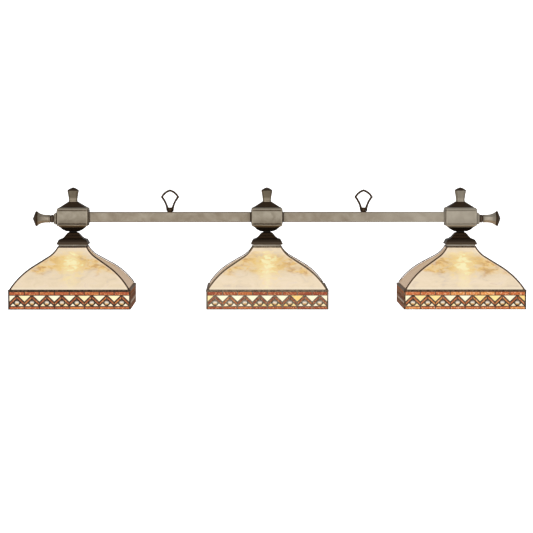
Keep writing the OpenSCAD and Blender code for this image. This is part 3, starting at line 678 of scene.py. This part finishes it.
def end_set():
    """Plate, collar and finial at both ends of the bar, each node in one piece. The outlines are in
    (half width, distance from the hub's middle) pairs."""
    start, octagon, narrow, widens, length = HUB_HW, 0.4142, 10.9, 7.7, 30.8
    plate = [(15.2, start), (15.95, start + 0.6), (15.95, start + 6.6), (15.3, start + 7.2), (13.9, start + 7.4),
             (13.9, start + 9.2), (13.4, start + 9.6)]
    ring = start + 9.6
    collar = [(8.2, ring - 0.2), (8.6, ring + 0.7), (10.2, ring + 1.8), (11.0, ring + 3.8), (11.0, ring + 6.6),
              (10.2, ring + 8.6), (8.6, ring + 9.7), (8.6, ring + 10.6)]
    stem = ring + 10.4
    foot = [(10.0, stem), (11.2, stem + 0.6), (11.2, stem + 2.6), (10.8, stem + 3.2)]
    flare = [(narrow + widens * (k / 10) ** 3.0, stem + 4 + length * k / 10) for k in range(11)]
    tip = [(18.2, stem + 34.5), (19.0, stem + 35.0), (20.8, stem + 37.6), (21.2, stem + 38.8), (20.6, stem + 40.4),
           (9.2, stem + 45.4), (0.3, stem + 48.9)]
    # outline, size and steps of its roundings, share of flats, corner, paint, node
    for name, outline, size, steps, share, corner, paint, nodes in (
            ("end_plates_both", plate, 0.5, 2, 1.0, 0.7, ENDS, ["end_plates"]),
            ("end_collars_both", collar, 0.8, 3, 0.5, 0.6, RING, ["end_collars"]),
            ("end_finials_both", foot + flare, 0.4, 2, octagon, 0.6, ENDS, ["end_finials"]),
            ("end_tips_both", tip, 0.7, 3, octagon, 0.6, BRONZE, [])):
        both = Form()
        for sign, side in ((-1, "left"), (1, "right")):
            turn = Matrix.Rotation(sign * math.pi / 2, 4, "Y")
            offset = Matrix.Translation((HUB_X[side] / MM, 0, -END_DROP))
            profile = rounded(outline, size, steps, closed=False)
            both.add(Form().moulding(profile, share, corner).moved(offset @ turn))
        piece(name, both, 0, paint, "bar_frame", nodes)


# ---- Hanging loops ----

def bow(start, end, sagitta, count):
    """Points of a parabola from start to end that swells by sagitta to the right of the way."""
    start, end = Vector(start), Vector(end)
    way = end - start
    out = Vector((way.y, -way.x)).normalized()
    return [start + way * t + out * sagitta * 4 * t * (1 - t) for t in (k / count for k in range(count + 1))]


def hang_loop(side):
    """A kite of round rod, a little thicker where it meets its boss."""
    rod, bend, boss_r, foot = 3.0, 3.0, 8.4, 15.6
    root, corner, apex = (6.0, 18), (26.5 - 1.3 * rod, 57.2), (0, 79.2 - 1.25 * rod)
    half = bow(root, corner, -bend, 12) + bow(corner, apex, bend, 10)[1:]
    line = half + [Vector((-p.x, p.y)) for p in reversed(half[:-1])]

    def section(t):
        r = rod + 0.9 * max(0, 1 - 9 * min(t, 1 - t))
        return ellipse(r, r, 16)

    form = Form().sweep([Vector((p.x, 0, p.y)) for p in line], section, AXIS_Y)
    outer = [(boss_r - 1.6, foot), (boss_r, foot + 1.4), (boss_r - 0.1, foot + 9), (boss_r - 0.8, 26.4), (5.4, 28.0)]
    bore = [(3.6, 27.4), (3.6, foot)]
    form.turned(rounded(outer, 1.2, 4, closed=False) + [Vector(p) for p in bore], 40, closed=True)
    piece("cast_loop_" + side, form, LOOP_X[side], BRONZE, "hang_loop_" + side,
          ["hang_loop_" + side, "loop_boss_" + side])


# ---- Shades ----

def glass_curve(depth, steps=14):
    """The curve of a panel from the top down, as (half width, height), moved inwards by depth.

    It is a hollow arch that starts steep, a straight slope and a belly that bends down to the rail."""
    steep, slant, radius = math.radians(64.7), math.radians(32), 69.2
    top, slope_l, foot = Vector((38, -80)), 44.7, Vector((163.5, -196))
    arch_end = top + radius * Vector((math.sin(steep) - math.sin(slant), math.cos(steep) - math.cos(slant)))
    belly_start = arch_end + slope_l * Vector((math.cos(slant), -math.sin(slant)))
    way = foot - belly_start
    end = 2 * math.atan2(-way.y, way.x) - slant
    r = way.x / (math.sin(end) - math.sin(slant))
    deg = math.degrees
    arch = arc(top + radius * Vector((math.sin(steep), math.cos(steep))), radius + depth, 270 - deg(steep),
               270 - deg(slant), steps)
    belly = arc(belly_start - r * Vector((math.sin(slant), math.cos(slant))), r - depth, 90 - deg(slant),
                90 - deg(end), steps)
    slope = [arch[-1].lerp(belly[0], k / 8) for k in range(1, 8)]
    return arch + slope + belly


def panels(side):
    """Four curved panes with slight waves. The seams, where a pane stops short of a hip, are wider at the
    two front hips."""
    front, back, thick, count = 1.5, 1.2, 3.0, 28
    wave_size, wave_depth = 26, 0.45
    form = Form()
    curves = [pair for pair in zip(glass_curve(0), glass_curve(thick)) if pair[0].y > GLASS_FOOT - 1.5]
    for turn, (left, right) in enumerate(((front, front), (front, back), (back, back), (back, front))):
        spin = Matrix.Rotation(turn * math.pi / 2, 4, "Z")
        shift = Vector((40 * turn, 300 * SIDES.index(side), 0))
        rings = []
        for pair in curves:
            rows = []
            for hw, z in pair:
                start, end = left - hw, hw - right
                row = [Vector((start + (end - start) * k / count, -hw, z)) for k in range(count + 1)]
                waves = [wave_depth * noise.noise((p + shift) / wave_size) for p in row]
                rows.append([p + Vector((0, -0.8, 0.6)) * wave for p, wave in zip(row, waves)])
            rings.append([spin @ p for p in rows[0] + rows[1][::-1]])
        form.skin(rings)
    piece("opal_panels_" + side, form, HUB_X[side], PANEL[side], "shade_" + side, ["panel_glass_" + side], 50)


def shade_frame(side):
    """Soldered hips, rails and corner posts, and the lighter strip round the top."""
    form = Form()
    # hips, thinner and flatter at the back
    ridge = [p for p in glass_curve(0, 16) if p.y > GLASS_FOOT - 2]
    back_hip, front_hip = (1.2, 1.4, 2.0), (1.35, 2.2, 1.7)
    for turn in range(4):
        half_w, half_d, sunk = back_hip if turn < 2 else front_hip
        spin = Matrix.Rotation(turn * math.pi / 2 + math.pi / 4, 4, "Z")
        path = [spin @ Vector((math.sqrt(2) * hw, 0, z)) for hw, z in ridge]
        across = spin @ AXIS_Y
        section = [Vector((s.x, s.y - sunk)) for s in ellipse(half_w, half_d, 18)]
        form.sweep(path, section, -across)

    def square_rail(hw, outline, size):
        """A closed rail round the shade. Its outline is in (height, distance outwards) pairs."""
        path = [Vector((*p, 0)) for p in plan(hw, 1, 1.2, 2)]
        form.sweep(path, rounded(outline, size, 3), AXIS_Z, closed=True)

    rail = [(-191.6, -10.5), (-191.6, -1.5), (-192.4, 0.6), (-196.6, 0.6), (-197.4, -1.5), (-197.0, -10.5)]
    hem = [(SHADE_LOW, -3.8), (SHADE_LOW, 0), (SHADE_LOW + 1.9, 0), (SHADE_LOW + 1.9, -3.8)]
    crown = [(-78.2, -4.2), (-78.2, 0.2), (-78.7, 0.8), (-81.8, 1.1), (-83.0, 0.4), (-83.0, -4.2)]
    square_rail(SHADE_HW, rail, 1.6)
    square_rail(SHADE_HW, hem, 0.85)
    square_rail(38.9, crown, 1.1)
    post = 2.1
    corner, square = SHADE_HW - post, [(-post, -post), (post, -post), (post, post), (-post, post)]
    for sx in (-1, 1):
        for sy in (-1, 1):
            path = [Vector((sx * corner, sy * corner, z)) for z in (SHADE_LOW + 0.4, -194)]
            form.sweep(path, rounded(square, 1.3, 3), AXIS_Y)
    piece("solder_frame_" + side, form, HUB_X[side], SOLDER[side], "shade_" + side, ["shade_frame_" + side], 50)
    strip = [(34.0, -79.0), (38.4, -79.0), (38.9, -78.0), (39.1, -74.6), (38.8, -73.0), (34.0, -73.0)]
    piece("cap_strip_" + side, Form().moulding(rounded(strip, 0.5, 2), corner=0.8, closed=True), HUB_X[side],
          STRIP[side], "shade_" + side)


def shade_cap(side):
    """The stepped cap, hollow underneath. Its outlines are in (half width, height) pairs."""
    steps = [(39.4, -74.0), (43.4, -73.9), (44.4, -72.8), (42.9, -69.8), (40.2, -64.0), (39.2, -62.4), (38.4, -60.6),
             (36.8, -59.8), (33.4, -59.3), (32.6, -58.4), (29.4, -57.6), (28.6, -56.4), (25.6, -54.8), (24.9, -53.4),
             (22.6, -51.4), (21.9, -49.8), (20.0, -48.2), (19.3, -46.6), (17.4, -45.0), (16.7, -43.6), (14.6, -42.2),
             (13.4, -41.3)]
    hollow = [(7.0, -41.3), (7.0, -44.1), (9.8, -48.4), (13.2, -48.6), (15.6, -53.6), (20.5, -57.6), (28.4, -61.2),
              (33.4, -64), (35.6, -69.4), (35.6, -74.0)]
    profile = rounded(steps, 0.45, 2, closed=False) + hollow
    form = Form().moulding(profile, corner=0.9, closed=True)
    piece("bronze_cap_" + side, form, HUB_X[side], CAP, "shade_" + side, ["shade_cap_" + side])


def islands(bm):
    """The separate pieces of a mesh, each a list of its faces."""
    found, seen = [], set()
    for start in bm.faces:
        if start in seen:
            continue
        group, queue = [], [start]
        seen.add(start)
        while queue:
            face = queue.pop()
            group.append(face)
            for other in (f for edge in face.edges for f in edge.link_faces):
                if other not in seen:
                    seen.add(other)
                    queue.append(other)
        found.append(group)
    return found


def from_node(name, node, material, body, edge, steps):
    """A copy of the CAD node's solids with rounded edges, and a tone of its own on each of them."""
    bm = bmesh.new()
    bm.from_mesh(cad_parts[node].data)
    bmesh.ops.remove_doubles(bm, verts=bm.verts, dist=WELD)
    bmesh.ops.dissolve_limit(bm, angle_limit=FLAT, verts=bm.verts, edges=bm.edges)
    bmesh.ops.recalc_face_normals(bm, faces=bm.faces)
    corner_angle = math.radians(28)
    corners = [e for e in bm.edges if len(e.link_faces) == 2 and e.calc_face_angle() > corner_angle]
    bmesh.ops.bevel(bm, geom=corners, offset=edge * MM, offset_type="OFFSET", segments=steps, profile=0.5,
                    affect="EDGES", clamp_overlap=True)
    tone = bm.faces.layers.float.new("tone")
    for group in islands(bm):
        centre = sum((f.calc_center_median() for f in group), Vector()) / len(group)
        cell = Vector(round(v / (2 * MM)) for v in centre)
        value = noise.cell(cell * 1.37)
        for face in group:
            face[tone] = value
    mesh = bpy.data.meshes.new(name)
    bm.to_mesh(mesh)
    bm.free()
    link(name, mesh, material, body, [node])


def jewels(side):
    """A domed jewel in each unit of the band, on all four faces."""
    dome = [(JEWEL_R, 0.0), (JEWEL_R, 1.4), (5.6, 2.2), (4.9, 2.9), (3.7, 3.55), (2.0, 4.0), (0.0, 4.15)]
    band_face, sunk = 165.8, 2.6
    form, outwards = Form(), Matrix.Rotation(math.pi / 2, 4, "X")
    for turn in range(4):
        spin = Matrix.Rotation(turn * math.pi / 2, 4, "Z")
        for k in range(UNITS):
            at = Matrix.Translation(((k - (UNITS - 1) / 2) * UNIT_W, sunk - band_face, JEWEL_Z))
            form.add(Form().turned(dome, 24).moved(spin @ at @ outwards))
    piece("jewels_" + side, form, HUB_X[side], JEWEL, "shade_" + side, ["band_jewels_" + side], 60)


def neck_collars():
    form = Form()
    ring = rounded([(10.2, -41.0), (10.7, -40.6), (10.7, -38.4), (10.2, -38.0)], 0.3, 2, closed=False)
    for side in SIDES:
        form.add(Form().moulding(ring, corner=0.9).moved(Matrix.Translation((HUB_X[side] / MM, 0, 0))))
    piece("neck_blocks", form, 0, UNDERSIDE_SHADE, "bar_frame", ["neck_collars"])


# ---- Bulbs ----

def bulb(side):
    """A globe whose neck flares into it by a fillet, and its screw base. The outlines are in (radius, height)
    pairs."""
    neck, fillet, seat = 14.0, 40.0, -99.0
    reach = neck + fillet
    rise = math.sqrt((fillet + BULB_R) ** 2 - reach ** 2)
    angle = math.degrees(math.atan2(rise, reach))
    globe = arc((0, BULB_Z), BULB_R, -90, angle, 26)
    shoulder = arc((reach, rise + BULB_Z), fillet, 180 + angle, 180, 10)
    line = [(max(p.x, 0.0), p.y) for p in globe + shoulder[1:]] + [(neck, seat - 0.8), (13.2, seat), (0.0, seat)]
    piece("bulb_envelope_" + side, Form().turned(line, 48), HUB_X[side], BULB, "bulb_" + side,
          ["bulb_glass_" + side])
    pitch, crest, root, ridges, steps, thread_top = 3.6, 13.0, 12.1, 6, 8, -76.0
    thread = [(root + (crest - root) * (0.5 + 0.5 * math.cos(2 * math.pi * k / steps)), thread_top - pitch * k / steps)
              for k in range(ridges * steps)]
    contact = [(0, -71.4), (4, -71.4), (5.2, -72.2), (9, -74.6), (11, -75.4)]
    skirt = [(crest, -98.0), (crest, seat + 0.01), (0, seat + 0.01)]
    piece("bulb_cap_" + side, Form().turned(contact + thread + skirt, 48), HUB_X[side], BASE, "bulb_" + side,
          ["bulb_base_" + side])


# ---- CAD nodes that stay ----

def keep(node, material, edge):
    """Paints a CAD node and rounds its edges with modifiers."""
    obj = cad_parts[node]
    obj.data.materials.clear()
    obj.data.materials.append(material)
    weld = obj.modifiers.new("Weld", "WELD")
    weld.merge_threshold = WELD
    flat = obj.modifiers.new("Flats", "DECIMATE")
    flat.decimate_type, flat.angle_limit = "DISSOLVE", FLAT
    round_off = obj.modifiers.new("Edges", "BEVEL")
    round_off.width, round_off.segments, round_off.limit_method = edge * MM, 2, "ANGLE"
    round_off.angle_limit = math.radians(35)
    obj.modifiers.new("Normals", "WEIGHTED_NORMAL").keep_sharp = True


for side in ("left", "right"):
    bar_tube(side)
    hang_loop(side)
for side in SIDES:
    hub(side)
    shade_cap(side)
    shade_frame(side)
    panels(side)
    from_node("solder_lattice_" + side, "band_cames_" + side, SOLDER[side], "shade_" + side, 0.9, 3)
    from_node("amber_bricks_" + side, "band_amber_" + side, AMBER[side], "shade_" + side, 0.25, 2)
    from_node("cream_pieces_" + side, "band_cream_" + side, CREAM[side], "shade_" + side, 0.25, 2)
    jewels(side)
    bulb(side)
    keep("socket_body_" + side, PHENOLIC, 0.5)
end_set()
neck_collars()
for node, paint, edge in (("hub_cores", STEEL, 0.5), ("bar_screws", STEEL, 0.3), ("lead_wires", JACKET, 0.2),
                          ("lamp_nipples", BRASS, 0.2), ("locknuts", STEEL, 0.4), ("screw_shells", BRASS, 0.1)):
    keep(node, paint, edge)


# ---- Stage, light and camera ----

def stage():
    """A pale floor that curves up behind the lamp. Sizes are in metres."""
    depth, near, half, radius, tall = 4.0, -9.0, 7.0, 1.5, 5.0
    floor_z = HUBS_Z - 1.5
    line = [Vector((near, floor_z)), Vector((depth, floor_z))]
    line += arc((depth, floor_z + radius), radius, -90, 0, 10)[1:] + [Vector((depth + radius, floor_z + tall))]
    points = [Vector((x, p.x, p.y)) for p in line for x in (-half, half)]
    faces = [(2 * k, 2 * k + 1, 2 * k + 3, 2 * k + 2) for k in range(len(line) - 1)]
    mesh = bpy.data.meshes.new("floor")
    mesh.from_pydata(points, [], faces)
    mesh.shade_smooth()
    floor = bpy.data.objects.new("floor", mesh)
    bpy.context.scene.collection.objects.link(floor)
    paint = Paint("floor_paint", Roughness=0.9, Specular_IOR_Level=0.1)
    tone = paint.mix(paint.noise(400, 2), srgb(250, 250, 250), srgb(254, 254, 254))
    paint.set(Base_Color=tone, Emission_Color=tone, Emission_Strength=0.9)
    mesh.materials.append(paint.material)
    floor.visible_glossy = False


def aimed(name, data, at, target):
    """An object for a light or a camera, in the scene, that looks at the target."""
    obj = bpy.data.objects.new(name, data)
    bpy.context.scene.collection.objects.link(obj)
    obj.location = at
    obj.rotation_euler = (Vector(target) - Vector(at)).to_track_quat("-Z", "Y").to_euler()
    return obj


def soft_light(name, at, size, watts):
    lamp = bpy.data.lights.new(name, "AREA")
    lamp.shape, lamp.size, lamp.energy = "DISK", size, watts
    aimed(name, lamp, at, (0, 0, HUBS_Z - 0.12))


stage()
soft_light("front_light", (-0.6, -6.2, 0.9), size=4.5, watts=78)
soft_light("top_light", (0.4, -1.2, 4.2), size=2.0, watts=9)
world = bpy.data.worlds.new("studio")
world.use_nodes = True
background = world.node_tree.nodes["Background"].inputs
background["Color"].default_value = (1, 1, 1, 1)
background["Strength"].default_value = 0.24
bpy.context.scene.world = world
bpy.context.scene.view_settings.view_transform = "Standard"

camera = bpy.data.cameras.new("camera")
camera.lens, camera.sensor_width = 165.6, 36
camera.clip_end = 100
bpy.context.scene.camera = aimed("camera", camera, (-0.057, -6.84, HUBS_Z + 0.224), (-0.001, 0, HUBS_Z - 0.137))
